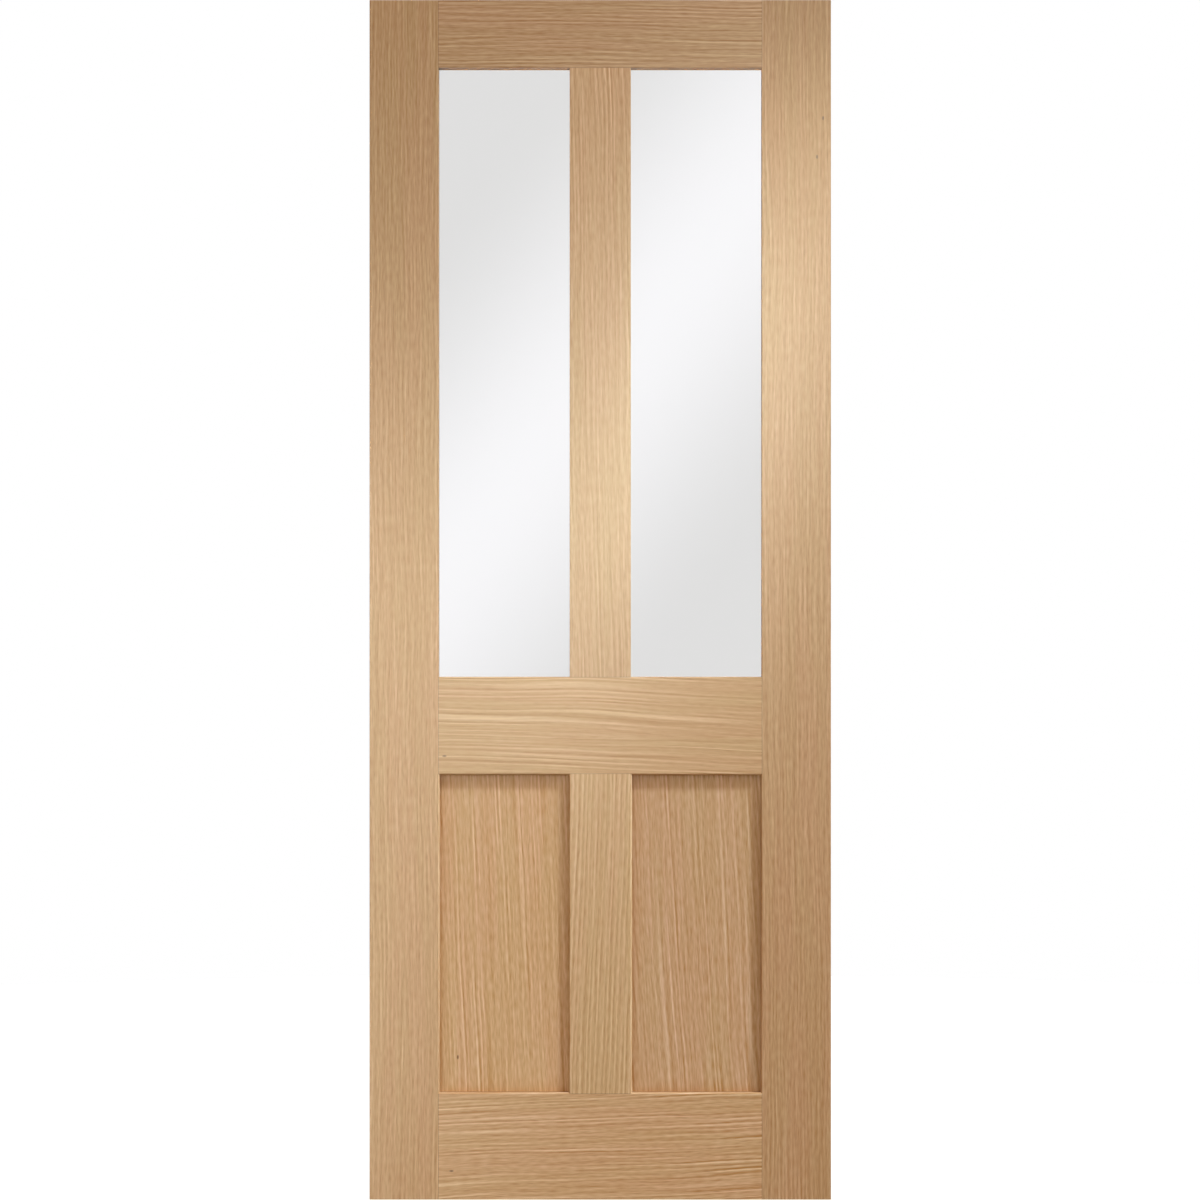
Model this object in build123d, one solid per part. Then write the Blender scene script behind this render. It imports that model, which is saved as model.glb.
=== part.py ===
"""Four-panel oak door leaf: two tall clear panes over a lock rail, and two flat panels below it.

X runs from the hinge edge (0) to the latch edge, Y from the front face to the back face with 0 in
the middle of the thickness, and Z up from the bottom edge. All sizes are in millimetres.

Every stile, rail and muntin is an engineered bar: a core with a solid oak lipping glued along each
long edge. The edges that face an opening are bevelled and grooved. The groove holds the flat panels,
and takes the stub tongues of the rails and muntins, whose shoulders are scribed over the bevels.
Around the glass the walls are trimmed back into the bevel, and the back lip of the groove is cut
away to a rebate. The pane is bedded there between two tapes, and four mitred beads close it from
the back.
"""

import os

from build123d import *

# The leaf
door_width = 762.0
door_height = 1981.0
door_thickness = 35.0
edge_round = 1.0  # rounding of the long outer edges

# The bars, measured from the outside to the walls of the openings
stile_width = 116.0
muntin_width = 105.0
top_rail_height = 114.0
lock_rail_height = 164.0
bottom_rail_height = 177.0
panel_opening_height = 524.0

# Lippings and the profile that is machined into them
outer_lipping = 8.0
inner_lipping = 16.0
bevel = 2.5
groove_depth = 10.0

# Flat panels
panel_thickness = 9.0
panel_play = 0.1  # between each face of a panel and its groove
panel_gap = 1.5  # left for movement at the sides and top of a panel

# Glazing
sight_trim = 2.0  # cut off the walls round the glass, which leaves only the front of their bevel
glass_thickness = 4.0
glass_bevel = 0.5  # ground off all the edges of a pane
glass_gap = 3.0  # between the edge of a pane and the floor of its rebate
tape_thickness = 1.0
tape_setback = 1.0  # from the sight line
bead_setback = 1.0  # from the back face of the leaf to the back of a bead

# Planes across the thickness
leaf_y = (-door_thickness / 2, door_thickness / 2)
groove_width = panel_thickness + 2 * panel_play
groove_y = (-groove_width / 2, groove_width / 2)
rebate_y = (groove_y[0], leaf_y[1])
front_tape_y = (rebate_y[0], rebate_y[0] + tape_thickness)
glass_y = (front_tape_y[1], front_tape_y[1] + glass_thickness)
back_tape_y = (glass_y[1], glass_y[1] + tape_thickness)
bead_y = (back_tape_y[1], leaf_y[1] - bead_setback)

# Planes across the width
leaf_x = (0, door_width)
middle_x = door_width / 2
muntin_x = (middle_x - muntin_width / 2, middle_x + muntin_width / 2)
openings_x = {
    "left": (stile_width, muntin_x[0]),
    "right": (muntin_x[1], door_width - stile_width),
}
sight_x = {side: (low - sight_trim, high + sight_trim) for side, (low, high) in openings_x.items()}

# Planes up the height
leaf_z = (0, door_height)
bottom_rail_z = (0, bottom_rail_height)
panel_z = (bottom_rail_z[1], bottom_rail_z[1] + panel_opening_height)
lock_rail_z = (panel_z[1], panel_z[1] + lock_rail_height)
top_rail_z = (door_height - top_rail_height, door_height)
over_lock_rail_z = (lock_rail_z[1], top_rail_z[0])
sight_z = (over_lock_rail_z[0] - sight_trim, over_lock_rail_z[1] + sight_trim)

# From the sight line of the glass outwards
rebate_depth = groove_depth - sight_trim
glass_cover = rebate_depth - glass_gap


def slab(x, y, z):
    """A box between the low and high plane given along each axis."""
    sizes = [high - low for low, high in (x, y, z)]
    centre = [(low + high) / 2 for low, high in (x, y, z)]
    return Pos(*centre) * Box(*sizes)


def grown(span, amount):
    """A span with both of its ends moved outwards."""
    return (span[0] - amount, span[1] + amount)


def trimmed(bar):
    """A bar with its walls round the glass cut back to the sight lines."""
    for x in sight_x.values():
        bar -= slab(x, leaf_y, sight_z)
    return bar


def left_stile():
    """The hinge-side upright, grooved from end to end and rebated beside the glass."""
    bar = slab((0, stile_width), leaf_y, leaf_z)
    uprights = bar.edges().filter_by(Axis.Z).group_by(Axis.X)
    bar = chamfer(uprights[-1], bevel)
    bar = fillet(bar.edges().filter_by(Axis.Z).group_by(Axis.X)[0], edge_round)
    wall_x = (stile_width - groove_depth, stile_width)
    bar -= slab(wall_x, groove_y, leaf_z)
    bar -= slab(wall_x, rebate_y, grown(over_lock_rail_z, groove_depth))
    return trimmed(bar)


def rail(z, stiles, below=None, above=None):
    """A cross bar between the stiles, its tongues in their grooves and its ends scribed to them.

    below and above are the planes across the thickness of what is cut along that edge: a groove
    under or over a panel, a rebate beside the glass, or nothing on an outer edge.
    """
    x = (stile_width - groove_depth, door_width - stile_width + groove_depth)
    bar = slab(x, leaf_y, z)
    edges = bar.edges().filter_by(Axis.X).group_by(Axis.Z)
    bevelled = (edges[0] if below else []) + (edges[-1] if above else [])
    bar = chamfer(bevelled, bevel)
    if below:
        bar -= slab(x, below, (z[0], z[0] + groove_depth))
    if above:
        bar -= slab(x, above, (z[1] - groove_depth, z[1]))
    for stile in stiles:
        bar -= stile
    return trimmed(bar)


def muntin(opening_z, cut_y, rails):
    """The upright between two openings, tongued and scribed into the rails above and below."""
    z = grown(opening_z, groove_depth)
    bar = slab(muntin_x, leaf_y, z)
    bar = chamfer(bar.edges().filter_by(Axis.Z), bevel)
    for x in ((muntin_x[0], muntin_x[0] + groove_depth), (muntin_x[1] - groove_depth, muntin_x[1])):
        bar -= slab(x, cut_y, z)
    for bar_across in rails:
        bar -= bar_across
    return trimmed(bar)


def lipped_upright(name, bar, x, left, right):
    """Splits an upright at its glue lines into core and lippings; left and right are (word, thickness)."""
    glue = (x[0] + left[1], x[1] - right[1])
    return {
        f"{name}_{left[0]}_lipping": bar & slab((x[0], glue[0]), leaf_y, leaf_z),
        f"{name}_core": bar & slab(glue, leaf_y, leaf_z),
        f"{name}_{right[0]}_lipping": bar & slab((glue[1], x[1]), leaf_y, leaf_z),
    }


def lipped_rail(name, bar, z, lower, upper):
    """Splits a rail at its glue lines into core and lippings of the thicknesses given."""
    glue = (z[0] + lower, z[1] - upper)
    return {
        f"{name}_lower_lipping": bar & slab(leaf_x, leaf_y, (z[0], glue[0])),
        f"{name}_core": bar & slab(leaf_x, leaf_y, glue),
        f"{name}_upper_lipping": bar & slab(leaf_x, leaf_y, (glue[1], z[1])),
    }


def frame_pieces():
    """The stiles, rails and muntins, each as a core and its lippings."""
    left = left_stile()
    right = mirror(left, about=Plane.YZ.offset(middle_x))
    stiles = (left, right)
    bottom = rail(bottom_rail_z, stiles, above=groove_y)
    lock = rail(lock_rail_z, stiles, below=groove_y, above=rebate_y)
    top = rail(top_rail_z, stiles, below=rebate_y)
    lower_muntin = muntin(panel_z, groove_y, (bottom, lock))
    upper_muntin = muntin(over_lock_rail_z, rebate_y, (lock, top))

    outer = ("outer", outer_lipping)
    inner = ("inner", inner_lipping)
    on_left = ("left", inner_lipping)
    on_right = ("right", inner_lipping)
    return {
        **lipped_upright("left_stile", left, (0, stile_width), outer, inner),
        **lipped_upright("right_stile", right, (door_width - stile_width, door_width), inner, outer),
        **lipped_rail("bottom_rail", bottom, bottom_rail_z, outer_lipping, inner_lipping),
        **lipped_rail("lock_rail", lock, lock_rail_z, inner_lipping, inner_lipping),
        **lipped_rail("top_rail", top, top_rail_z, inner_lipping, outer_lipping),
        **lipped_upright("lower_muntin", lower_muntin, muntin_x, on_left, on_right),
        **lipped_upright("upper_muntin", upper_muntin, muntin_x, on_left, on_right),
    }


def flat_panel(opening_x):
    """A veneered board that stands on the floor of the bottom rail's groove."""
    x = grown(opening_x, groove_depth - panel_gap)
    y = (-panel_thickness / 2, panel_thickness / 2)
    z = (panel_z[0] - groove_depth, panel_z[1] + groove_depth - panel_gap)
    return slab(x, y, z)


def pane(side):
    """A clear toughened pane, a gap smaller than its rebate all round, with ground edges."""
    glass = slab(grown(sight_x[side], glass_cover), glass_y, grown(sight_z, glass_cover))
    return chamfer(glass.edges(), glass_bevel)


def glazing_tape(side, y):
    """A loop of tape that follows the edge of the pane and stops short of the sight line."""
    loop = slab(grown(sight_x[side], glass_cover), y, grown(sight_z, glass_cover))
    return loop - slab(grown(sight_x[side], tape_setback), y, grown(sight_z, tape_setback))


def bead(sight_line, rebate_line):
    """A glazing bead with mitred ends, between two lines given by their (x, z) end points."""
    outline = [*sight_line, *reversed(rebate_line)]
    face = make_face(Polyline(*[(x, bead_y[0], z) for x, z in outline], close=True))
    bar = extrude(face, amount=bead_y[1] - bead_y[0], dir=(0, 1, 0))
    (x0, z0), (x1, z1) = sight_line
    seen_edge = bar.edges().sort_by_distance(((x0 + x1) / 2, bead_y[1], (z0 + z1) / 2))[0]
    return chamfer(seen_edge, bevel)


def pane_beads(side):
    """The four beads behind a pane, named by the bar that each one lies against."""

    def corners(x, z):
        return [(x[0], z[0]), (x[1], z[0]), (x[1], z[1]), (x[0], z[1])]

    sight = corners(sight_x[side], sight_z)
    rebate = corners(grown(sight_x[side], rebate_depth), grown(sight_z, rebate_depth))
    uprights = ("muntin", "stile") if side == "left" else ("stile", "muntin")
    lies_on = ("lock_rail", uprights[0], "top_rail", uprights[1])
    beads = {}
    for start, place in enumerate(lies_on):
        end = (start + 1) % len(lies_on)
        lines = (sight[start], sight[end]), (rebate[start], rebate[end])
        beads[f"{side}_pane_{place}_bead"] = bead(*lines)
    return beads


def door_leaf():
    """Every piece of the leaf by name."""
    pieces = frame_pieces()
    for side, opening_x in openings_x.items():
        pieces[f"{side}_panel"] = flat_panel(opening_x)
        pieces[f"{side}_pane"] = pane(side)
        pieces[f"{side}_pane_front_tape"] = glazing_tape(side, front_tape_y)
        pieces[f"{side}_pane_back_tape"] = glazing_tape(side, back_tape_y)
        pieces.update(pane_beads(side))
    return pieces


os.makedirs("parts", exist_ok=True)
for name, piece in door_leaf().items():
    export_step(piece, f"parts/{name}.step")
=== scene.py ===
"""Finishes and sets out the oak door leaf: lacquered oak, clear panes, bead pins, floor, lights and camera.

Everything is in metres, in the leaf's own frame: X across from the hinge edge, Y through the leaf from
the front face to the back, Z up. The CAD pieces stay where they are and get their finishes here.
"""

import logging
import math
from dataclasses import dataclass, replace
from enum import Enum
from functools import partial, reduce

import bmesh
import bpy
from mathutils import Matrix, Vector


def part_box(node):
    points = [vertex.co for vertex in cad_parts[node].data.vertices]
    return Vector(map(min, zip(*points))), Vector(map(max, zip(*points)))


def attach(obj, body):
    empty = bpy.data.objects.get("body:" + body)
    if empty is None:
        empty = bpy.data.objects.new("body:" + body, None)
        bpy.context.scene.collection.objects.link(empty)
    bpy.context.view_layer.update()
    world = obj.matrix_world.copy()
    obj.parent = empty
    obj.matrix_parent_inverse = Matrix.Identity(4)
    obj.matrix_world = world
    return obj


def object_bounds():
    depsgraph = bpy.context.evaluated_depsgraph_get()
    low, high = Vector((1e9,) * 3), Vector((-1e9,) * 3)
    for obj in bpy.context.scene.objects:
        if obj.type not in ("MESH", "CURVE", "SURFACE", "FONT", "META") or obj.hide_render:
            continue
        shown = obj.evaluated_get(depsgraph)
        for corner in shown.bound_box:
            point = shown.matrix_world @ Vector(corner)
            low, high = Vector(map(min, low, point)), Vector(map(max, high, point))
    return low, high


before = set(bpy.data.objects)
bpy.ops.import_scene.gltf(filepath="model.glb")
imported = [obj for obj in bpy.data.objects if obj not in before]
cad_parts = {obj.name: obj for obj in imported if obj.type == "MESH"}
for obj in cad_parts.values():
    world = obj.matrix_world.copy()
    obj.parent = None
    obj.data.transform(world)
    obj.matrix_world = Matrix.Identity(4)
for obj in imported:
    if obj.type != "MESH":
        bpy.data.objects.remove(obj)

CAD_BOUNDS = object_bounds()
LOG = logging.getLogger("door_leaf")

Colour = tuple[float, float, float]
Span = tuple[float, float]
Socket = bpy.types.NodeSocket
Value = float | Socket

OBJECT_BODY = "root"
ARRIS = 0.0025  # the bevel along the edges of the openings
WHITE: Colour = (1.0, 1.0, 1.0)

# The oak's own colours
HONEY: Colour = (0.727, 0.424, 0.204)  # the pale wood
NUT: Colour = (0.494, 0.205, 0.044)  # the dark wood of its lines and streaks
SAWN_PALE: Colour = (0.56, 0.39, 0.22)  # a core stave, sawn across
SAWN_DARK: Colour = (0.38, 0.22, 0.105)  # the rings of a core stave

# Casts, by which a colour is multiplied
OLIVE_CAST: Colour = (0.993, 1.004, 0.975)  # the greener patches
ROSY_CAST: Colour = (1.020, 0.995, 1.018)  # the pinker patches
TOP_SHADE_CAST: Colour = (0.76, 0.745, 0.66)  # painted shade, darker towards the top of the leaf
PORE_CAST: Colour = (0.62, 0.47, 0.29)
KNOT_CAST: Colour = (0.30, 0.18, 0.09)
JOINT_CAST: Colour = (0.36, 0.22, 0.11)  # the shadow line of a joint
RIM_SHADE_CAST: Colour = (0.88, 0.79, 0.65)  # painted shade along a panel's edges, where the recess shades it
WALL_SHADE_CAST: Colour = (0.64, 0.54, 0.43)  # painted shade on the faces that look sideways into the openings
STAVE_CAST: Colour = (0.80, 0.76, 0.72)  # the darkest stave of a core
GLUE_CAST: Colour = (0.45, 0.34, 0.25)
VENEER_CAST: Colour = (0.78, 0.74, 0.70)  # the cut edge of a face veneer

# How far apart in the noise two boards lie, and two layers of one board
BOARDS_APART_ACROSS = 3.17
BOARDS_APART_ALONG = 7.31
LAYERS_APART = 1.7

# The numbers between which something comes in, most of them levels of the noise
PORE_EDGE: Span = (0.56, 0.72)
ROSY_EDGE: Span = (0.36, 0.64)
STRONG_LINE_EDGE: Span = (0.42, 0.68)
WALL_EDGE: Span = (0.25, 0.65)  # how far a face looks to the front or back, from a wall to a face
JOINT_EDGE: Span = (0.0003, 0.0011)  # the shadow line of a joint, from its dark middle out
DARKNESS_RANGE: Span = (-0.6, 1.15)  # beyond these the wood gets no paler or darker


class Runs(Enum):
    """The way the grain of a board runs."""

    UP = "up"
    ACROSS = "across"


class Wiring:
    """Adds nodes to one node tree and joins them up."""

    COLOUR_MIX_SOCKETS = (0, 6, 7)  # where a Mix node takes the share and the two colours
    COLOUR_MIX_RESULT = 2

    def __init__(self, tree: bpy.types.NodeTree) -> None:
        """Starts on a tree, which it empties."""
        self.tree = tree
        tree.nodes.clear()

    def node(self, kind: str, *values: Value | Colour, **settings: object) -> bpy.types.Node:
        """Adds a node.

        Args:
            kind: The node's type name, without its "ShaderNode" prefix.
            values: What goes into its first sockets, in order.
            settings: Properties to set on it.

        Returns:
            The new node.
        """
        made = self.tree.nodes.new("ShaderNode" + kind)
        for name, value in settings.items():
            setattr(made, name, value)
        for socket, value in zip(made.inputs, values):
            self.feed(socket, value)
        return made

    def feed(self, socket: Socket, value: Value | Colour) -> None:
        """Links a socket to another one, or sets it to a number or colour.

        Args:
            socket: The socket that takes the value.
            value: A socket to link to, a number or a colour.
        """
        if isinstance(value, Socket):
            self.tree.links.new(value, socket)
        elif isinstance(value, tuple) and len(value) == 3 and socket.type == "RGBA":
            socket.default_value = (*value, 1.0)
        else:
            socket.default_value = value

    def fill(self, made: bpy.types.Node, sockets: dict[str, Value | Colour]) -> bpy.types.Node:
        """Feeds a node's sockets by name.

        Args:
            made: The node.
            sockets: What goes into each of the sockets named.

        Returns:
            The same node.
        """
        for name, value in sockets.items():
            self.feed(made.inputs[name], value)
        return made

    def shade_with(self, shader: bpy.types.Node, kind: str = "OutputMaterial") -> None:
        """Joins a shader to a new output node."""
        self.node(kind, shader.outputs[0])

    def math(self, operation: str, *values: Value) -> Socket:
        """Works out one number from others, by a Math node's operation."""
        return self.node("Math", *values, operation=operation).outputs[0]

    def total(self, *values: Value) -> Socket:
        """Adds up two or more numbers."""
        return reduce(partial(self.math, "ADD"), values)

    def product(self, *values: Value) -> Socket:
        """Multiplies two or more numbers."""
        return reduce(partial(self.math, "MULTIPLY"), values)

    def minus(self, value: Value, taken: Value) -> Socket:
        """Takes one number from another."""
        return self.math("SUBTRACT", value, taken)

    def lesser(self, first: Value, second: Value) -> Socket:
        """The lesser of two numbers."""
        return self.math("MINIMUM", first, second)

    def greater(self, first: Value, second: Value) -> Socket:
        """The greater of two numbers."""
        return self.math("MAXIMUM", first, second)

    def unsigned(self, value: Value) -> Socket:
        """A number without its sign."""
        return self.math("ABSOLUTE", value)

    def diagonal(self, first: Value, second: Value) -> Socket:
        """How long the diagonal over two sides is."""
        return self.math("SQRT", self.total(self.product(first, first), self.product(second, second)))

    def crest(self, turns: Value, narrow: float) -> Socket:
        """A crest from 0 to 1 once a turn, narrower as its power is higher."""
        wave = self.total(0.5, self.product(self.math("COSINE", self.product(turns, 2 * math.pi)), 0.5))
        return self.math("POWER", wave, narrow)

    def ease(self, value: Value, low: float, high: float) -> Socket:
        """Goes smoothly from 0 to 1 as the value goes from low to high."""
        return self.node("MapRange", value, low, high, interpolation_type="SMOOTHSTEP").outputs[0]

    def inside(self, value: Value, span: Span, at_high_end: float = 1.0) -> Socket:
        """How far a value is inside a span, with the distance to its high end times a factor."""
        to_high_end = self.product(self.minus(span[1], value), at_high_end)
        return self.lesser(self.minus(value, span[0]), to_high_end)

    def vector(self, x: Value, y: Value, z: Value) -> Socket:
        """Joins three numbers into a vector."""
        return self.node("CombineXYZ", x, y, z).outputs[0]

    def parts(self, vector: Socket) -> list[Socket]:
        """Splits a vector into its three numbers."""
        return list(self.node("SeparateXYZ", vector).outputs)

    def noise(self, place: Socket, detail: float = 2.0, rough: float = 0.5) -> Socket:
        """Smooth noise from 0 to 1 about a mean of one half, with features about one unit across.

        Args:
            place: Where the noise is read.
            detail: How many finer layers are added to it.
            rough: How strong each finer layer is.

        Returns:
            The noise.
        """
        made = self.node("TexNoise", place, noise_dimensions="3D")
        self.fill(made, {"Scale": 1.0, "Detail": detail, "Roughness": rough})
        return made.outputs[0]

    def swing(self, noise: Socket, reach: float) -> Socket:
        """Turns noise into a number about zero, mostly within plus or minus reach."""
        return self.product(self.minus(noise, 0.5), 4.0 * reach)

    def grit(self, per_metre: float) -> Socket:
        """Fine noise in Object coordinates.

        Args:
            per_metre: How many features it has to a metre.

        Returns:
            The noise.
        """
        scaled = self.node("Mapping", self.node("TexCoord").outputs["Object"])
        scaled.inputs["Scale"].default_value = (per_metre,) * 3
        return self.noise(scaled.outputs[0], rough=0.6)

    def relief(self, height: Value, strength: float, distance: float) -> Socket:
        """The surface's direction once it is raised by a height from 0 to 1, times a distance in metres."""
        sockets = {"Strength": strength, "Distance": distance, "Height": height}
        return self.fill(self.node("Bump"), sockets).outputs[0]

    def mix(self, share: Value, first: Value | Colour, second: Value | Colour,
            blend: str = "MIX", beyond: bool = False) -> Socket:
        """Mixes two colours.

        Args:
            share: How much of the second colour, from 0 to 1.
            first: The colour at 0.
            second: The colour at 1.
            blend: The Mix node's blend type.
            beyond: Whether the share may go below 0 and above 1.

        Returns:
            The mixed colour's socket.
        """
        made = self.node("Mix", data_type="RGBA", blend_type=blend, clamp_factor=not beyond)
        for place, value in zip(self.COLOUR_MIX_SOCKETS, (share, first, second)):
            self.feed(made.inputs[place], value)
        return made.outputs[self.COLOUR_MIX_RESULT]

    def tint(self, colour: Socket, cast: Value | Colour, share: Value = 1.0) -> Socket:
        """Multiplies a colour by a cast, in full or by a share."""
        return self.mix(share, colour, cast, "MULTIPLY")

    def seen(self) -> Socket:
        """1 for what the camera looks at, straight or through glass, and 0 for the light that falls."""
        path = self.node("LightPath")
        return self.greater(path.outputs["Is Camera Ray"], path.outputs["Is Transmission Ray"])


def new_material(name: str) -> tuple[bpy.types.Material, Wiring]:
    """Makes an empty node material.

    Args:
        name: The material's name.

    Returns:
        The material and the wiring of its node tree.
    """
    material = bpy.data.materials.new(name)
    material.use_nodes = True
    return material, Wiring(material.node_tree)


@dataclass(frozen=True)
class BoardPoint:
    """A point of a board: its place across X and up Z, and where that lies in the grain."""

    x: Value
    z: Value
    across: Value
    along: Value
    depth: Value


@dataclass(frozen=True)
class Layer:
    """One use of noise in a board: how large its features are, in metres, and what sets it apart."""

    across: float
    along: float
    depth: float
    apart: float
    detail: float


SLOW_BENDS = Layer(0.30, 0.75, 0.30, apart=1.0, detail=2.0)
QUICK_BENDS = Layer(0.05, 0.16, 0.05, apart=2.0, detail=2.0)
STREAKS = Layer(0.0017, 0.10, 0.010, apart=3.0, detail=1.0)
CLOUDS = Layer(0.05, 0.45, 0.05, apart=4.0, detail=2.0)
PORES = Layer(0.0014, 0.018, 0.0030, apart=6.0, detail=1.0)
FLECKS = Layer(0.0017, 0.016, 0.006, apart=7.0, detail=0.0)
TINTS = Layer(0.035, 0.40, 0.035, apart=8.0, detail=1.0)


@dataclass(frozen=True)
class PinKnot:
    """A small dark knot in the face of a board: its place across X and up Z, and its radius."""

    x: float
    z: float
    radius: float = 0.0022


@dataclass(frozen=True)
class StaveEnds:
    """The glued staves of a core, between two face veneers, where a cut across the grain shows them."""

    width: float = 0.0235
    ring: float = 0.0028
    pith_below: float = 0.02  # least distance from the leaf's middle down to the middle of the rings
    pith_range: float = 0.05
    pith_aside: float = -0.2  # as a share of the width
    veneer: Span = (0.0168, 0.01695)  # depths between which the core gives way to the veneer
    glue: Span = (0.008, 0.02)  # half a glue line, from its dark middle out, as shares of the width
    turned: Span = (0.6, 0.9)  # how far along the grain a face looks, from not cut across to fully
    ring_start: float = -0.25
    ring_narrow: float = 2.0
    stave_range: float = 0.4  # how much of its cast the darkest stave takes
    glue_strength: float = 0.7

    def over(self, w: Wiring, colour: Socket, along_grain: Socket, point: BoardPoint, seed: float) -> Socket:
        """Lays the staves over the colour of the board's faces.

        Args:
            w: The material's wiring.
            colour: The colour of the faces.
            along_grain: How far the surface looks along the grain, from -1 to 1.
            point: The point of the board.
            seed: Sets this board's staves apart from the others'.

        Returns:
            The colour.
        """
        count = w.product(point.across, 1.0 / self.width)
        chance = w.node("TexWhiteNoise", noise_dimensions="1D")
        w.feed(chance.inputs["W"], w.total(w.math("FLOOR", count), seed))
        offset = chance.outputs["Value"]
        middle = w.minus(w.math("FRACT", count), w.total(offset, self.pith_aside))
        below = w.total(point.depth, w.product(offset, self.pith_range), self.pith_below)
        rings = w.diagonal(w.product(middle, self.width), below)
        dark = w.crest(w.total(w.product(rings, 1.0 / self.ring), self.ring_start), self.ring_narrow)
        wood = w.mix(dark, SAWN_PALE, SAWN_DARK)
        stave = w.tint(wood, STAVE_CAST, w.product(offset, self.stave_range))
        from_joint = w.unsigned(w.minus(w.math("FRACT", w.total(count, 0.5)), 0.5))
        glue = w.minus(1.0, w.ease(from_joint, *self.glue))
        stave = w.tint(stave, GLUE_CAST, w.product(glue, self.glue_strength))
        sawn = w.mix(w.ease(w.unsigned(point.depth), *self.veneer), stave, w.tint(colour, VENEER_CAST))
        return w.mix(w.ease(w.unsigned(along_grain), *self.turned), colour, sawn)


@dataclass(frozen=True)
class LacqueredOak:
    """One board's oak: how it was sawn, how strongly it is figured, and its matt clear lacquer."""

    name: str
    runs: Runs
    seed: float
    tone: Colour = WHITE  # multiplies both of the oak's own colours
    painted_top_shade: Span | None = None  # the stretch along the grain over which painted shade darkens the board towards the top of the leaf
    ring: float = 0.0068  # from one growth line to the next
    turn: float = 0.35  # how far the rings slant through the thickness, in radians
    lean: float = 0.0  # how far the grain leans to one side, metre for metre
    wander: float = 0.006  # how far the grain strays in its slow bends
    ripple: float = 0.0008  # and in its quick ones
    uneven: float = 0.9  # how unevenly the growth lines are spaced
    lines: float = 0.20  # how strong they are
    steady: float = 0.1  # the strength that they keep where they are faintest
    streaks: float = 1.2
    flecks: float = 0.8
    clouds: float = 0.12
    pores: float = 0.22
    seam: float | None = None  # a joint in the veneer: what lies below it was cut elsewhere
    sheen: float = 1.0
    knots: tuple[PinKnot, ...] = ()
    ends: Span | None = None  # where the face ends in a joint, along the grain
    longer_behind: float = 0.0  # how much further both ends of the back face reach
    opening: tuple[Span, Span] | None = None  # what a panel fills: its span across X and up Z
    shaded_walls: bool = False  # whether the faces that look sideways into an opening get painted shade
    staves: bool = False  # whether the faces across the grain show the core's staves

    coat: float = 0.85
    coat_roughness: float = 0.31
    coat_ior: float = 1.5
    wood_shine: float = 0.3
    wood_roughness: float = 0.48
    pore_roughness: float = 0.2  # what a pore adds to it
    pore_relief: tuple[float, float] = (0.35, 0.00005)  # strength and depth
    wall_dullness: float = 0.8  # how much of its coat a wall lacks

    def material(self) -> bpy.types.Material:
        """Builds the node material.

        Returns:
            A material whose pattern is laid in Object coordinates.
        """
        material, w = new_material(self.name)
        coordinates = w.node("TexCoord")
        point = self._point(w, coordinates.outputs["Object"])
        looks = w.parts(coordinates.outputs["Normal"])
        grown = replace(point, across=self._radius(w, point))
        pores = w.ease(self._noise(w, PORES, grown), *PORE_EDGE)
        colour = self._colour(w, self._darkness(w, grown, point), pores, point)
        coat = self.coat * self.sheen
        if self.shaded_walls:
            # painted shade on the faces that look sideways into the openings, which also keep less coat
            wall_shade = w.minus(1.0, w.ease(w.unsigned(looks[1]), *WALL_EDGE))
            colour = w.tint(colour, WALL_SHADE_CAST, wall_shade)
            coat = w.minus(coat, w.product(wall_shade, self.wall_dullness * coat))
        if self.staves:
            along_grain = looks[2] if self.runs is Runs.UP else looks[0]
            colour = StaveEnds().over(w, colour, along_grain, point, self.seed)
        w.shade_with(w.fill(w.node("BsdfPrincipled"), {
            "Base Color": colour,
            "Roughness": w.total(self.wood_roughness, w.product(pores, self.pore_roughness)),
            "Specular IOR Level": self.wood_shine * self.sheen,
            "Coat Weight": coat,
            "Coat Roughness": self.coat_roughness,
            "Coat IOR": self.coat_ior,
            "Normal": w.relief(w.minus(1.0, pores), *self.pore_relief),
        }))
        return material

    def _point(self, w: Wiring, place: Socket) -> BoardPoint:
        """Finds where a place lies in the board.

        Args:
            w: The material's wiring.
            place: The place in Object coordinates.

        Returns:
            The point of the board.
        """
        elsewhere = 0.4
        x, y, z = w.parts(place)
        across, along = (x, z) if self.runs is Runs.UP else (z, x)
        if self.seam:
            across = w.total(across, w.product(w.math("LESS_THAN", across, self.seam), elsewhere))
        return BoardPoint(x, z, across, along, depth=y)

    def _noise(self, w: Wiring, layer: Layer, point: BoardPoint) -> Socket:
        """Reads one of the board's layers of noise.

        Args:
            w: The material's wiring.
            layer: The layer.
            point: Where it is read.

        Returns:
            The noise, from 0 to 1.
        """
        along_shift = self.seed * BOARDS_APART_ALONG + layer.apart
        across = w.total(w.product(point.across, 1.0 / layer.across), self.seed * BOARDS_APART_ACROSS)
        along = w.total(w.product(point.along, 1.0 / layer.along), along_shift)
        depth = w.total(w.product(point.depth, 1.0 / layer.depth), layer.apart * LAYERS_APART)
        return w.noise(w.vector(across, along, depth), layer.detail)

    def _radius(self, w: Wiring, point: BoardPoint) -> Socket:
        """Works out how far out in the log a point of the board grew.

        Args:
            w: The material's wiring.
            point: The point.

        Returns:
            The distance in metres.
        """
        leaned = w.total(point.across, w.product(point.along, self.lean))
        plain = w.total(w.product(leaned, math.cos(self.turn)), w.product(point.depth, math.sin(self.turn)))
        slow = w.swing(self._noise(w, SLOW_BENDS, point), self.wander)
        quick = w.swing(self._noise(w, QUICK_BENDS, point), self.ripple)
        return w.total(plain, slow, quick)

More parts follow.
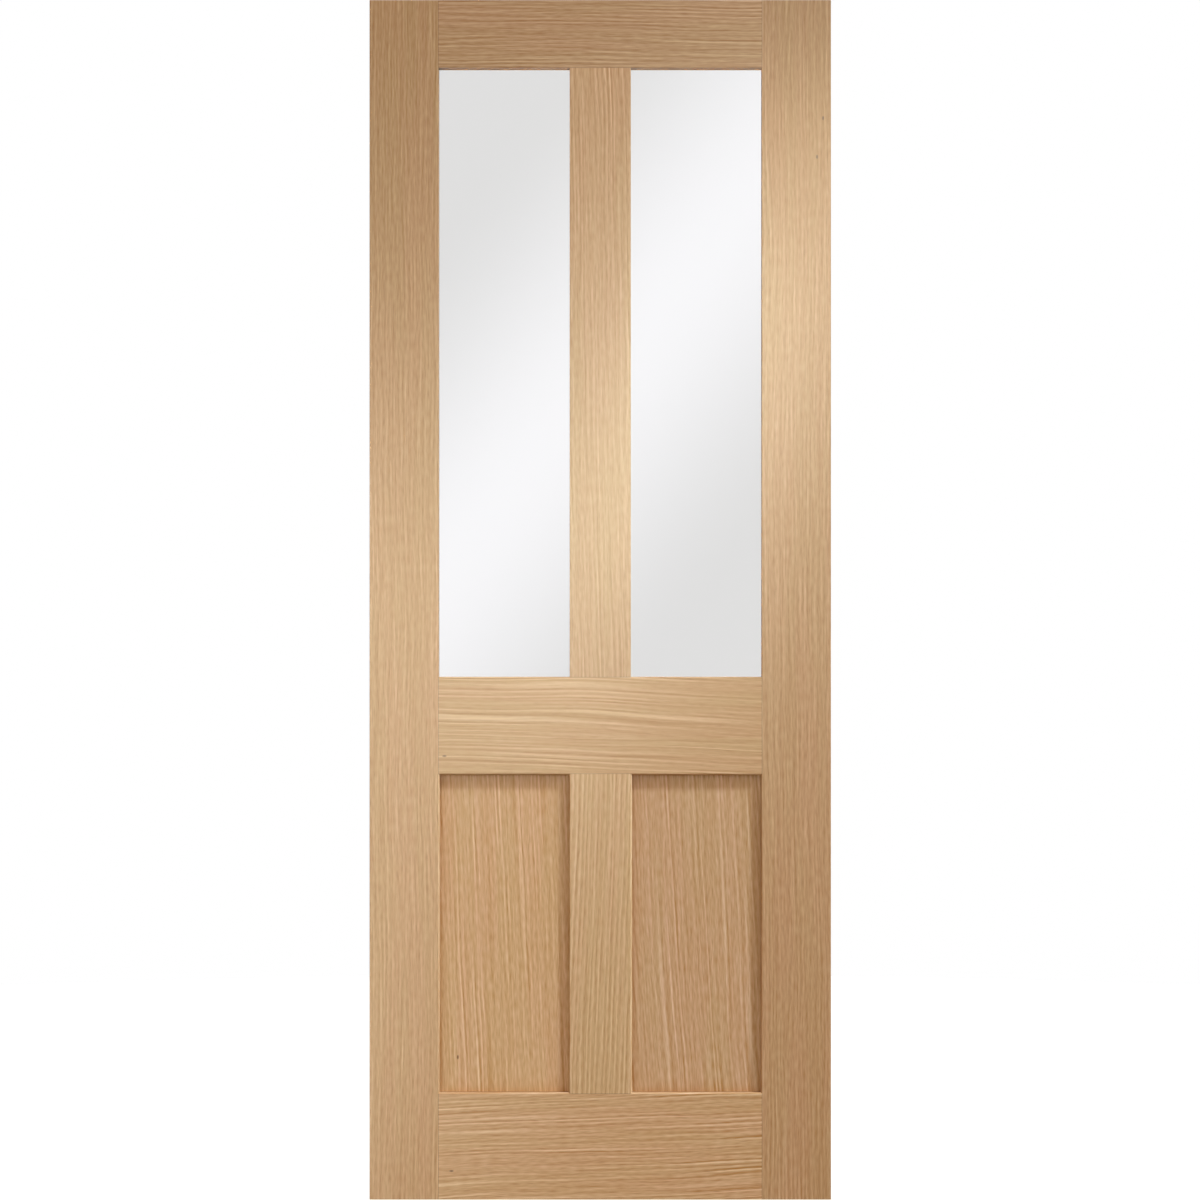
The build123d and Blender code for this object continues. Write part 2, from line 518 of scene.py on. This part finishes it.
    def _darkness(self, w: Wiring, grown: BoardPoint, point: BoardPoint) -> Socket:
        """Works out how dark the wood is between its pores.

        Args:
            w: The material's wiring.
            grown: The point, with the distance out in the log as its place across.
            point: The point.

        Returns:
            The darkness, mostly from 0 to 1: growth lines, streaks, flecks and slow changes.
        """
        mean = 0.41
        streak_gap = 0.0035  # from a dark streak to the pale one beside it
        held_back = 0.7  # how far the darkest streaks are
        beside = replace(grown, across=w.total(grown.across, streak_gap))
        streak = w.minus(self._noise(w, STREAKS, grown), self._noise(w, STREAKS, beside))
        fleck = self._noise(w, FLECKS, grown)
        cloud = self._noise(w, CLOUDS, point)
        return w.total(
            mean,
            w.product(self._growth_lines(w, grown), self.lines),
            w.product(w.minus(streak, w.product(streak, streak, held_back)), self.streaks),
            w.product(w.minus(fleck, 0.5), self.flecks),
            w.product(w.minus(cloud, 0.5), 2.0 * self.clouds),
        )

    def _growth_lines(self, w: Wiring, grown: BoardPoint) -> Socket:
        """Draws the growth lines, each with a dark side and a pale one.

        Args:
            w: The material's wiring.
            grown: The point, with the distance out in the log as its place across.

        Returns:
            Their darkness, below zero on the pale sides.
        """
        narrow = 3.0
        dark_side = 0.65  # its strength, where the pale side has 1
        pale_side_place = 0.4  # as a share of the way to the next line
        spacing_detail = (0.31, 0.5)  # features to a line, and to a metre along the grain
        waxing_detail = (0.6, 2.0)
        waxing_apart = 5.0
        turns = w.product(grown.across, 1.0 / self.ring)
        spacing_across = w.product(turns, spacing_detail[0])
        spacing_along = w.product(grown.along, spacing_detail[1])
        spacing = w.noise(w.vector(spacing_across, spacing_along, self.seed))
        phase = w.total(turns, w.swing(spacing, self.uneven))
        dark = w.product(w.crest(phase, narrow), dark_side)
        pale = w.crest(w.total(phase, pale_side_place), narrow)
        waxing_across = w.product(phase, waxing_detail[0])
        waxing_along = w.product(grown.along, waxing_detail[1])
        waxing = w.noise(w.vector(waxing_across, waxing_along, self.seed + waxing_apart), detail=1.0)
        strength = w.total(self.steady, w.product(w.ease(waxing, *STRONG_LINE_EDGE), 1.0 - self.steady))
        return w.product(w.minus(dark, pale), strength)

    def _colour(self, w: Wiring, darkness: Socket, pores: Socket, point: BoardPoint) -> Socket:
        """Mixes the wood's colour, with its knots, joint lines and the painted shade along a panel's edges.

        Args:
            w: The material's wiring.
            darkness: How dark the wood is between its pores.
            pores: 1 in a pore and 0 outside.
            point: The point of the board.

        Returns:
            The colour.
        """
        light = tuple(part * share for part, share in zip(HONEY, self.tone))
        dark = tuple(part * share for part, share in zip(NUT, self.tone))
        palest, darkest = DARKNESS_RANGE
        colour = w.mix(w.greater(w.lesser(darkness, darkest), palest), light, dark, beyond=True)
        rosy = w.ease(self._noise(w, TINTS, point), *ROSY_EDGE)
        colour = w.tint(colour, w.mix(rosy, OLIVE_CAST, ROSY_CAST))
        # painted shade: darker towards the top of the leaf
        if self.painted_top_shade:
            colour = w.tint(colour, TOP_SHADE_CAST, w.ease(point.along, *self.painted_top_shade))
        colour = w.tint(colour, PORE_CAST, w.product(pores, self.pores))
        for knot in self.knots:
            colour = self._knot(w, colour, knot, point)
        if self.ends:
            colour = self._joint_lines(w, colour, point)
        if self.opening:
            colour = self._painted_edge_shade(w, colour, point)
        return colour

    def _knot(self, w: Wiring, colour: Socket, knot: PinKnot, point: BoardPoint) -> Socket:
        """Darkens the colour at one pin knot.

        Args:
            w: The material's wiring.
            colour: The colour of the wood.
            knot: The knot.
            point: The point of the board.

        Returns:
            The colour.
        """
        longer = 0.45  # a knot is drawn out along the grain by one over this
        dark_middle = 0.3  # as a share of its radius
        strength = 0.95
        stretch = (1.0, longer) if self.runs is Runs.UP else (longer, 1.0)
        aside = w.product(w.minus(point.x, knot.x), stretch[0])
        up = w.product(w.minus(point.z, knot.z), stretch[1])
        spot = w.minus(1.0, w.ease(w.diagonal(aside, up), dark_middle * knot.radius, knot.radius))
        return w.tint(colour, KNOT_CAST, w.product(spot, strength))

    def _joint_lines(self, w: Wiring, colour: Socket, point: BoardPoint) -> Socket:
        """Draws the thin shadow line where each end of the board meets its neighbour.

        Args:
            w: The material's wiring.
            colour: The colour of the wood.
            point: The point of the board.

        Returns:
            The colour.
        """
        strength = 0.75
        inside = w.inside(point.along, self.ends)
        if self.longer_behind:
            behind = w.math("GREATER_THAN", point.depth, 0.0)
            inside = w.total(inside, w.product(behind, self.longer_behind))
        gap = w.minus(1.0, w.ease(inside, *JOINT_EDGE))
        return w.tint(colour, JOINT_CAST, w.product(gap, strength))

    def _painted_edge_shade(self, w: Wiring, colour: Socket, point: BoardPoint) -> Socket:
        """Darkens a panel's colour along its opening with painted shade, widely at the left and foot and
        thinly elsewhere.

        Args:
            w: The material's wiring.
            colour: The colour of the wood.
            point: The point of the panel.

        Returns:
            The colour.
        """
        width = 0.03
        thinner = 5.0
        fall = 3.0  # the power by which the rim fades over its width
        # painted shade: darker beside the edges of the opening, where the recess shades the panel
        aside = w.inside(point.x, self.opening[0], thinner)
        up = w.inside(point.z, self.opening[1], thinner)
        away = w.greater(w.lesser(aside, up), 0.0)
        nearness = w.greater(w.minus(1.0, w.product(away, 1.0 / width)), 0.0)
        return w.tint(colour, RIM_SHADE_CAST, w.math("POWER", nearness, fall))


@dataclass(frozen=True)
class ClearGlass:
    """Clear float glass with a faint grey body."""

    name: str
    body: Colour
    lets_light: Colour
    ior: float = 1.5

    def material(self) -> bpy.types.Material:
        """Builds the glass, which passes light as well as sight.

        Returns:
            The material.
        """
        material, w = new_material(self.name)
        glass = w.fill(w.node("BsdfPrincipled"), {
            "Base Color": self.body,
            "Roughness": 0.0,
            "IOR": self.ior,
            "Transmission Weight": 1.0,
        })
        clear = w.node("BsdfTransparent", self.lets_light)
        in_shadow = w.node("LightPath").outputs["Is Shadow Ray"]
        w.shade_with(w.node("MixShader", in_shadow, glass.outputs[0], clear.outputs[0]))
        return material


@dataclass(frozen=True)
class FoamTape:
    """Closed-cell glazing tape, fine grained and matt."""

    name: str
    base: Colour
    cells_per_metre: float = 2500.0
    paler: float = 1.6  # how much paler than the base the cell walls are
    roughness: Span = (0.75, 0.95)
    relief: tuple[float, float] = (0.4, 0.0001)

    def material(self) -> bpy.types.Material:
        """Builds the tape's material.

        Returns:
            The material.
        """
        material, w = new_material(self.name)
        cells = w.grit(self.cells_per_metre)
        smooth, rough = self.roughness
        w.shade_with(w.fill(w.node("BsdfPrincipled"), {
            "Base Color": w.mix(cells, self.base, tuple(self.paler * part for part in self.base)),
            "Roughness": w.total(smooth, w.product(cells, rough - smooth)),
            "Normal": w.relief(cells, *self.relief),
        }))
        return material


@dataclass(frozen=True)
class WoodFiller:
    """The filler over a sunk pin, a little darker and flatter than the oak round it."""

    name: str
    base: Colour
    grains_per_metre: float = 3000.0
    darker: float = 0.8
    roughness: Span = (0.6, 0.8)

    def material(self) -> bpy.types.Material:
        """Builds the filler's material.

        Returns:
            The material.
        """
        material, w = new_material(self.name)
        grains = w.grit(self.grains_per_metre)
        smooth, rough = self.roughness
        w.shade_with(w.fill(w.node("BsdfPrincipled"), {
            "Base Color": w.mix(grains, tuple(self.darker * part for part in self.base), self.base),
            "Roughness": w.total(smooth, w.product(grains, rough - smooth)),
        }))
        return material


def dress(node: str, material: bpy.types.Material) -> None:
    """Gives a CAD node its finish.

    Args:
        node: The node's name.
        material: The finish, put in every slot the node has.
    """
    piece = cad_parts[node]
    if not piece.data.materials:
        piece.data.materials.append(material)
    for place in range(len(piece.material_slots)):
        piece.material_slots[place].material = material
    LOG.info("dressed %s in %s", node, material.name)


def hang(name: str, data: bpy.types.ID) -> bpy.types.Object:
    """Makes an object and links it to the scene.

    Args:
        name: The object's name.
        data: Its mesh, lamp or camera.

    Returns:
        The new object.
    """
    holder = bpy.data.objects.new(name, data)
    bpy.context.scene.collection.objects.link(holder)
    return holder


def solid(name: str, shape: bmesh.types.BMesh, material: bpy.types.Material) -> bpy.types.Object:
    """Makes an object of a finished bmesh.

    Args:
        name: The object's name.
        shape: The bmesh, in its place; it is freed.
        material: Its finish.

    Returns:
        The new object.
    """
    mesh = bpy.data.meshes.new(name)
    shape.to_mesh(mesh)
    shape.free()
    mesh.materials.append(material)
    return hang(name, mesh)


def new_piece(name: str, shape: bmesh.types.BMesh, material: bpy.types.Material) -> bpy.types.Object:
    """Makes a piece of the leaf from a finished bmesh, and lets it ride on the leaf.

    Args:
        name: The piece's name.
        shape: The bmesh, in its place; it is freed.
        material: The piece's finish.

    Returns:
        The new object.
    """
    piece = solid(name, shape, material)
    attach(piece, OBJECT_BODY)
    LOG.info("built %s with %d faces", name, len(piece.data.polygons))
    return piece


@dataclass
class LippedBar:
    """A stile, rail or muntin: a veneered core between two solid lippings, all of one board's figure."""

    name: str
    lippings: tuple[str, str]
    oak: LacqueredOak
    outside: str = ""

    def finish(self) -> None:
        """Dresses the core and its lippings; painted shade darkens the faces that look into the openings."""
        core = replace(self.oak, name=f"{self.oak.name}_core", staves=True).material()
        wall = replace(self.oak, name=f"{self.oak.name}_shaded_wall", shaded_walls=True).material()
        dress(f"{self.name}_core", core)
        for side in self.lippings:
            dress(f"{self.name}_{side}_lipping", self.oak.material() if side == self.outside else wall)


@dataclass
class FlatPanel:
    """A flat veneered panel."""

    name: str
    oak: LacqueredOak

    def finish(self) -> None:
        """Dresses the panel."""
        dress(self.name, self.oak.material())


@dataclass
class GlazedOpening:
    """A pane in its tapes and beads, with the filled pins that hold the beads."""

    side: str
    uprights: tuple[str, str]
    upright_oak: bpy.types.Material
    level_oak: bpy.types.Material
    glass: bpy.types.Material
    tape: bpy.types.Material
    filler: bpy.types.Material
    levels: tuple[str, str] = ("lock_rail", "top_rail")
    pin_radius: float = 0.0011
    pin_segments: int = 16
    pin_from_end: float = 0.045
    pin_spacing: float = 0.23  # at most about this
    pin_depth: float = 0.0004  # half of it stands out of the bead
    pin_crown: float = 0.0001

    def finish(self) -> None:
        """Dresses the pane, its tapes and its beads."""
        dress(f"{self.side}_pane", self.glass)
        for face in ("front", "back"):
            dress(f"{self.side}_pane_{face}_tape", self.tape)
        for place in self.uprights:
            dress(f"{self.side}_pane_{place}_bead", self.upright_oak)
        for place in self.levels:
            dress(f"{self.side}_pane_{place}_bead", self.level_oak)

    def build_pins(self) -> bpy.types.Object:
        """Builds the filled pin heads on the backs of the four beads.

        Returns:
            One piece that holds them all.
        """
        pins = bmesh.new()
        for place in (*self.uprights, *self.levels):
            low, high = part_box(f"{self.side}_pane_{place}_bead")
            run = 2 if place in self.uprights else 0
            length = high[run] - low[run] - 2 * self.pin_from_end
            gaps = max(1, round(length / self.pin_spacing))
            for number in range(gaps + 1):
                middle = (low + high) / 2
                middle.y = high.y
                middle[run] = low[run] + self.pin_from_end + length * number / gaps
                self._pin(pins, middle)
        return new_piece(f"{self.side}_bead_pins", pins, self.filler)

    def _pin(self, pins: bmesh.types.BMesh, place: Vector) -> None:
        """Adds one slightly domed head that stands through the bead's back.

        Args:
            pins: The bmesh that gets it.
            place: The middle of the head, on the bead's back.
        """
        lies = Matrix.Translation(place) @ Matrix.Rotation(-math.pi / 2, 4, "X")
        disc = bmesh.ops.create_cone(
            pins, cap_ends=True, segments=self.pin_segments, radius1=self.pin_radius,
            radius2=self.pin_radius, depth=self.pin_depth, matrix=lies,
        )
        rim = [e for v in disc["verts"] for e in v.link_edges if all(w.co.y > place.y for w in e.verts)]
        bmesh.ops.bevel(
            pins, geom=list(set(rim)), offset=self.pin_crown,
            affect="EDGES", segments=2, profile=0.5, material=-1,
        )


@dataclass(frozen=True)
class PaintedPaneReflection:
    """A glowing card behind the leaf that is seen only through the panes, as one soft pale band: a painted
    reflection of a studio light in the glass.

    The middle and reach are those of the band where it shows on the leaf.
    """

    middle: tuple[float, float] = (0.381, 1.353)
    slope: float = math.radians(50.2)
    reach: float = 0.372
    strength: float = 0.288
    colour: Colour = (1.0, 1.0, 1.09)
    away: float = 3.0
    half_size: float = 2.2

    def build(self, eye: Vector) -> None:
        """Hangs the card.

        Args:
            eye: Where the camera is.
        """
        front, back = CAD_BOUNDS[0].y, CAD_BOUNDS[1].y
        enlarged = (back + self.away - eye.y) / (front - eye.y)
        card = bmesh.new()
        place = Matrix.Translation((eye.x, back + self.away, eye.z)) @ Matrix.Rotation(math.pi / 2, 4, "X")
        bmesh.ops.create_grid(card, x_segments=1, y_segments=1, size=self.half_size, matrix=place)
        holder = solid("painted_pane_reflection", card, self._material(eye, enlarged))
        holder.visible_camera = False
        holder.visible_diffuse = False
        holder.visible_glossy = False
        holder.visible_shadow = False

    def _material(self, eye: Vector, enlarged: float) -> bpy.types.Material:
        """Builds the card's light, which is added to that of the surroundings behind it.

        Args:
            eye: Where the camera is.
            enlarged: How much larger the card is than its image on the leaf.

        Returns:
            The material.
        """
        material, w = new_material("painted_pane_reflection")
        material.cycles.emission_sampling = "NONE"
        shrunk = w.node("Mapping", w.node("TexCoord").outputs["Object"])
        shrunk.inputs["Scale"].default_value = (1 / enlarged,) * 3
        shrunk.inputs["Location"].default_value = eye * (1 - 1 / enlarged)
        x, _, z = w.parts(shrunk.outputs[0])
        aside = w.product(w.minus(x, self.middle[0]), -math.sin(self.slope))
        above = w.product(w.minus(z, self.middle[1]), math.cos(self.slope))
        fade = w.minus(1.0, w.ease(w.unsigned(w.total(aside, above)), 0.0, self.reach))
        shine = w.node("Emission", self.colour, w.product(fade, self.strength))
        w.shade_with(w.node("AddShader", shine.outputs[0], w.node("BsdfTransparent").outputs[0]))
        return material


@dataclass(frozen=True)
class SheenLamps:
    """Small lamps in front of the leaf that only show as the soft sheen of its lacquer.

    A slanting row of them, strongest in the middle, and a few more; their places are where the
    sheen shows on the leaf.
    """

    away: float = 2.0
    colour: Colour = (1.10, 1.0, 0.70)
    middle: tuple[float, float] = (0.535, 1.30)
    slope: float = math.radians(58.0)
    spacing: float = 0.22
    to_each_side: int = 4
    fade: float = 0.50
    power: float = 29.5
    others: tuple[tuple[float, float, float], ...] = ((-0.40, 1.03, 114.0), (-0.43, 0.25, 114.0))

    def build(self, eye: Vector) -> None:
        """Hangs all the lamps.

        Args:
            eye: Where the camera is.
        """
        for step in range(-self.to_each_side, self.to_each_side + 1):
            along = step * self.spacing
            x = self.middle[0] + along * math.cos(self.slope)
            z = self.middle[1] + along * math.sin(self.slope)
            self._lamp(eye, x, z, self.power * math.exp(-((along / self.fade) ** 2)))
        for x, z, power in self.others:
            self._lamp(eye, x, z, power)

    def _lamp(self, eye: Vector, x: float, z: float, power: float) -> None:
        """Hangs one lamp.

        Args:
            eye: Where the camera is.
            x: How far across the leaf its sheen shows.
            z: How far up the leaf its sheen shows.
            power: Its power in watts.
        """
        front = CAD_BOUNDS[0].y
        enlarged = 1 + self.away / (front - eye.y)
        lamp = bpy.data.lights.new("sheen", "POINT")
        lamp.energy = power
        lamp.color = self.colour
        lamp.shadow_soft_size = 0.0
        holder = hang("sheen", lamp)
        holder.visible_diffuse = False
        aside, above = (x - eye.x) * enlarged, (z - eye.z) * enlarged
        holder.location = (eye.x + aside, front - self.away, eye.z + above)


@dataclass(frozen=True)
class FarLight:
    """A far, soft light that falls on the leaf and not on the floor."""

    name: str
    source: tuple[float, float, float]
    strength: float
    colour: Colour
    spread: float = math.radians(8.5)
    only_sheen: bool = False

    def build(self, floor: bpy.types.Object) -> None:
        """Hangs the light.

        Args:
            floor: The floor, which it leaves out.
        """
        lamp = bpy.data.lights.new(self.name, "SUN")
        lamp.energy = self.strength
        lamp.color = self.colour
        lamp.angle = self.spread
        holder = hang(self.name, lamp)
        holder.visible_diffuse = not self.only_sheen
        holder.rotation_euler = Vector(self.source).to_track_quat("Z", "Y").to_euler()
        unlit = bpy.data.collections.new("unlit_by_" + self.name)
        unlit.objects.link(floor)
        unlit.collection_objects[0].light_linking.link_state = "EXCLUDE"
        holder.light_linking.receiver_collection = unlit


@dataclass
class Studio:
    """The plain pale floor, the soft lights and the camera that looks at the leaf square on."""

    distance: float = 6.7
    picture: int = 1200
    tall_in_picture: float = 1199.6
    middle_in_picture: tuple[float, float] = (600.25, 599.8)
    sensor: float = 36.0
    sees: Span = (0.1, 100.0)
    ambient: Colour = (0.383, 0.327, 0.275)
    bright_side: tuple[float, float, float] = (0.36, -0.60, 0.385)
    floor_radius: float = 4.0
    floor_segments: int = 96
    floor_colour: Colour = (0.45, 0.45, 0.45)
    floor_roughness: float = 0.8
    floor_lift: float = 0.90
    far_lights: tuple[FarLight, ...] = (
        FarLight("key", (1.46, -1.0, 2.09), 2.2, (0.76, 1.0, 1.28)),
        FarLight("back", (0.15, 1.0, 0.9), 2.2, WHITE),
        FarLight("sheen_from_the_right", (1.0, -0.03, 0.0), 0.80, (1.1, 1.0, 0.7), only_sheen=True),
        FarLight("sheen_from_above", (0.0, -0.03, 1.0), 0.22, (1.1, 1.0, 0.7), only_sheen=True),
    )

    def build(self) -> None:
        """Sets out everything round the leaf."""
        eye = self._camera()
        self._surroundings()
        floor = self._floor()
        for light in self.far_lights:
            light.build(floor)
        SheenLamps().build(eye)
        PaintedPaneReflection().build(eye)

    def _camera(self) -> Vector:
        """Places the camera so that the leaf stands where it does in the picture.

        Returns:
            Where the camera is.
        """
        low, high = CAD_BOUNDS
        scale = (high.z - low.z) / self.tall_in_picture
        shift_x = (self.middle_in_picture[0] - self.picture / 2) * scale
        shift_z = (self.middle_in_picture[1] - self.picture / 2) * scale
        camera = bpy.data.cameras.new("camera")
        camera.sensor_width = self.sensor
        camera.lens = self.sensor * self.distance / (scale * self.picture)
        camera.clip_start, camera.clip_end = self.sees
        holder = hang("camera", camera)
        middle = (low + high) / 2
        holder.location = (middle.x - shift_x, low.y - self.distance, middle.z + shift_z)
        holder.rotation_euler = (math.pi / 2, 0.0, 0.0)
        bpy.context.scene.camera = holder
        return holder.location.copy()

    def _surroundings(self) -> None:
        """Makes the surroundings white to look at, and as a light softer and brighter on one side."""
        world = bpy.data.worlds.new("surroundings")
        world.use_nodes = True
        bpy.context.scene.world = world
        w = Wiring(world.node_tree)
        seen = w.seen()
        direction = w.parts(w.node("TexCoord").outputs["Generated"])
        uneven = w.total(*(w.product(part, share) for part, share in zip(direction, self.bright_side)))
        strength = w.total(1.0, w.product(uneven, w.minus(1.0, seen)))
        w.shade_with(w.node("Background", w.mix(seen, self.ambient, WHITE), strength), "OutputWorld")

    def _floor(self) -> bpy.types.Object:
        """Makes the round pale floor, lifted to near white where it is seen, also through glass.

        Returns:
            The floor.
        """
        low, high = CAD_BOUNDS
        disc = bmesh.new()
        bmesh.ops.create_circle(
            disc, cap_ends=True, segments=self.floor_segments, radius=self.floor_radius,
            matrix=Matrix.Translation(((low.x + high.x) / 2, 0.0, low.z)),
        )
        material, w = new_material("pale_floor")
        w.shade_with(w.fill(w.node("BsdfPrincipled"), {
            "Base Color": self.floor_colour,
            "Roughness": self.floor_roughness,
            "Emission Color": WHITE,
            "Emission Strength": w.product(w.seen(), self.floor_lift),
        }))
        floor = solid("floor", disc, material)
        return floor


def joint_span(first: str, second: str, run: int) -> Span:
    """Where a board's face ends against the arrises of its two neighbours.

    Args:
        first: The node at the board's low end.
        second: The node at its high end.
        run: The axis along the board: 0 for X, 2 for Z.

    Returns:
        The two ends of the face.
    """
    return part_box(first)[1][run] - ARRIS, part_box(second)[0][run] + ARRIS


def frame_bars() -> list[LippedBar]:
    """The seven bars of the frame, each cut from its own board.

    Returns:
        The bars, in the order they are dressed.
    """
    between_stiles = joint_span("left_stile_inner_lipping", "right_stile_inner_lipping", 0)
    over_panels = joint_span("bottom_rail_upper_lipping", "lock_rail_lower_lipping", 2)
    over_glass = joint_span("lock_rail_upper_lipping", "top_rail_lower_lipping", 2)
    left = LacqueredOak("left_stile_oak", Runs.UP, 1.0, tone=(0.955, 0.96, 0.965), painted_top_shade=(0.85, 2.0))
    right = LacqueredOak("right_stile_oak", Runs.UP, 2.0, tone=(0.90, 0.90, 0.90), painted_top_shade=(1.72, 2.02),
                         ripple=0.0012, knots=(PinKnot(0.749, 1.786), PinKnot(0.739, 1.722)))
    # The top rail's low tone is in part painted shade, darker at the top of the leaf.
    top = LacqueredOak("top_rail_oak", Runs.ACROSS, 3.0, tone=(0.725, 0.71, 0.69), ring=0.0064, uneven=0.5,
                       lines=0.68, streaks=1.6, ends=between_stiles)
    lock = LacqueredOak("lock_rail_oak", Runs.ACROSS, 4.0, tone=(0.955, 1.0, 1.0), ring=0.0070, lines=0.8,
                        streaks=0.9, flecks=0.4, pores=0.18, lean=0.03, wander=0.012, seam=0.7627,
                        knots=(PinKnot(0.1236, 0.7325),), ends=between_stiles)
    bottom = LacqueredOak("bottom_rail_oak", Runs.ACROSS, 5.0, tone=(1.03, 1.075, 1.13), ring=0.0078,
                          lines=0.85, streaks=1.2, wander=0.008, lean=-0.05,
                          knots=(PinKnot(0.1353, 0.0472),), ends=between_stiles)
    lower = LacqueredOak("lower_muntin_oak", Runs.UP, 6.0, tone=(1.01, 1.09, 1.12), ring=0.0073, uneven=0.5,
                         lines=0.60, steady=0.5, streaks=0.9, lean=-0.03, ripple=0.0012, ends=over_panels)
    upper = LacqueredOak("upper_muntin_oak", Runs.UP, 7.0, tone=(0.90, 0.93, 0.97), ring=0.0064, uneven=0.5,
                         lean=0.02, lines=0.50, ends=over_glass,
                         longer_behind=over_glass[0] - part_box("upper_muntin_core")[0].z)
    return [
        LippedBar("left_stile", ("outer", "inner"), left, "outer"),
        LippedBar("right_stile", ("inner", "outer"), right, "outer"),
        LippedBar("top_rail", ("lower", "upper"), top, "upper"),
        LippedBar("lock_rail", ("lower", "upper"), lock),
        LippedBar("bottom_rail", ("lower", "upper"), bottom, "lower"),
        LippedBar("lower_muntin", ("left", "right"), lower),
        LippedBar("upper_muntin", ("left", "right"), upper),
    ]


def flat_panels() -> list[FlatPanel]:
    """The two flat panels.

    Returns:
        The panels.
    """
    up = (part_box("bottom_rail_upper_lipping")[1].z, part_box("lock_rail_lower_lipping")[0].z)
    on_the_left = (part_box("left_stile_inner_lipping")[1].x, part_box("lower_muntin_left_lipping")[0].x)
    on_the_right = (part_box("lower_muntin_right_lipping")[1].x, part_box("right_stile_inner_lipping")[0].x)
    left = LacqueredOak("left_panel_oak", Runs.UP, 8.0, tone=(1.18, 1.31, 1.50), ring=0.0088, lines=0.60,
                        streaks=0.80, lean=0.05, sheen=0.4, knots=(PinKnot(0.1453, 0.2338),),
                        opening=(on_the_left, up))
    right = LacqueredOak("right_panel_oak", Runs.UP, 9.0, tone=(1.07, 1.19, 1.42), ring=0.0088, lines=0.60,
                         streaks=0.85, lean=0.07, sheen=0.4, opening=(on_the_right, up))
    return [FlatPanel("left_panel", left), FlatPanel("right_panel", right)]


def glazed_openings() -> list[GlazedOpening]:
    """The two glazed openings.

    Returns:
        The openings.
    """
    # The beads' darker tone is in part painted shade, for their place deep in the openings.
    bead_tone_with_shade = (0.78, 0.80, 0.80)
    upright = LacqueredOak("upright_bead_oak", Runs.UP, 10.0, bead_tone_with_shade, shaded_walls=True).material()
    level = LacqueredOak("level_bead_oak", Runs.ACROSS, 11.0, bead_tone_with_shade, shaded_walls=True).material()
    glass = ClearGlass("clear_glass", (0.747, 0.747, 0.747), (0.85, 0.85, 0.85)).material()
    tape = FoamTape("glazing_tape", (0.030, 0.025, 0.020)).material()
    filler = WoodFiller("pin_filler", (0.40, 0.22, 0.10)).material()
    return [
        GlazedOpening("left", ("muntin", "stile"), upright, level, glass, tape, filler),
        GlazedOpening("right", ("stile", "muntin"), upright, level, glass, tape, filler),
    ]


def main() -> None:
    """Dresses and builds each sub-assembly in turn, then sets out the studio."""
    logging.basicConfig(level=logging.INFO, format="%(message)s")
    bpy.context.scene.view_settings.view_transform = "Standard"
    for bar in frame_bars():
        bar.finish()
    for panel in flat_panels():
        panel.finish()
    for opening in glazed_openings():
        opening.finish()
        opening.build_pins()
    Studio().build()


if __name__ == "__main__":
    main()
